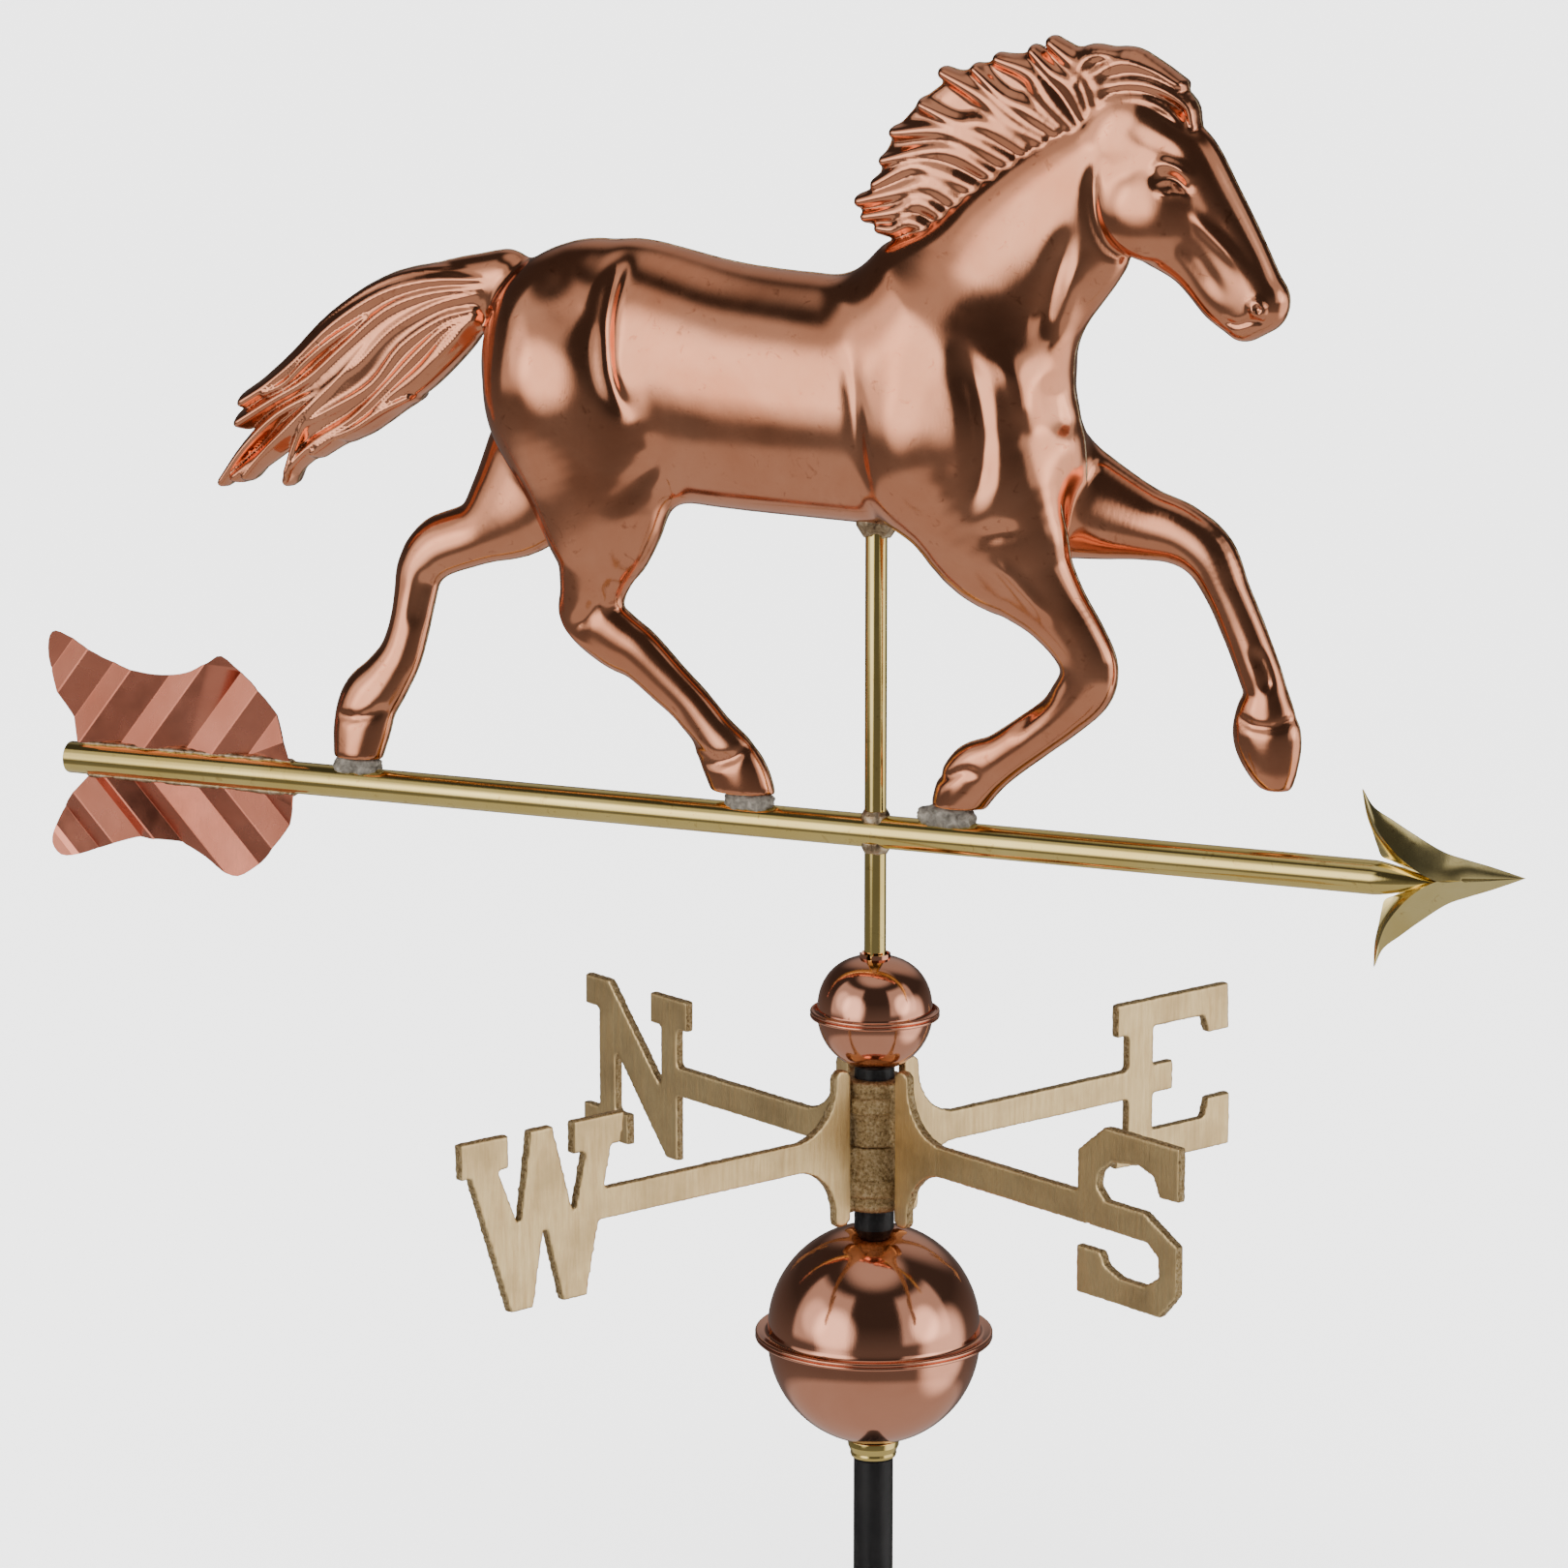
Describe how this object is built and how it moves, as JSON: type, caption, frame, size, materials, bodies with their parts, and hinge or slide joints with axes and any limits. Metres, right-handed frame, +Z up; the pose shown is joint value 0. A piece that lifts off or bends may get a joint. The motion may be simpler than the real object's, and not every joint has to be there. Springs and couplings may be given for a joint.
{
  "type": "weather vane",
  "caption": "Copper horse weather vane: the arrow and horse turn on a spindle over two copper balls and cast brass compass directionals on a black steel rod.",
  "frame": {"origin": "centre of the mounting rod's lower end", "axes": "+Z up the rod, +X along the arrow towards its tip at rest, the horse's mid-plane is Y = 0"},
  "size_m": [0.765, 0.4342, 0.785],
  "materials": {
    "black_steel": "satin black powder coat",
    "steel": "machined",
    "copper": "polished copper sheet",
    "brass_tube": "polished",
    "cast_brass": "sand cast, faces brushed",
    "solder": "dull grey solder"
  },
  "bodies": {
    "mount": {"mounting_rod": "black_steel", "rod_insert": "steel", "spindle": "steel", "bearing_ball": "steel", "ball_collar": "brass_tube", "large_ball_upper": "copper", "large_ball_lower": "copper", "small_ball_upper": "copper", "small_ball_lower": "copper", "small_ball_ferrule": "copper", "ns_directional": "cast_brass", "ew_directional": "cast_brass", "hub_set_screws": "steel"},
    "vane": {"vane_tube": "brass_tube", "vane_tube_plug": "brass_tube", "arrow_tube": "brass_tube", "arrow_head": "brass_tube", "upper_feather": "copper", "lower_feather": "copper", "upper_feather_solder": "solder", "lower_feather_solder": "solder", "far_hind_solder": "solder", "near_hind_solder": "solder", "near_fore_solder": "solder", "cross_joint_solder": "solder", "belly_solder": "solder", "horse_body_left": "copper", "horse_body_right": "copper", "tail_left": "copper", "tail_right": "copper", "near_hind_leg_outer": "copper", "near_hind_leg_inner": "copper", "far_hind_leg_outer": "copper", "far_hind_leg_inner": "copper", "near_fore_leg_outer": "copper", "near_fore_leg_inner": "copper", "far_fore_leg_outer": "copper", "far_fore_leg_inner": "copper"}
  },
  "joints": [
    {"name": "vane_spin", "type": "hinge", "parent": "mount", "child": "vane", "pos_m": [0, 0, 0.306], "axis": [0, 0, 1], "continuous": true}
  ]
}
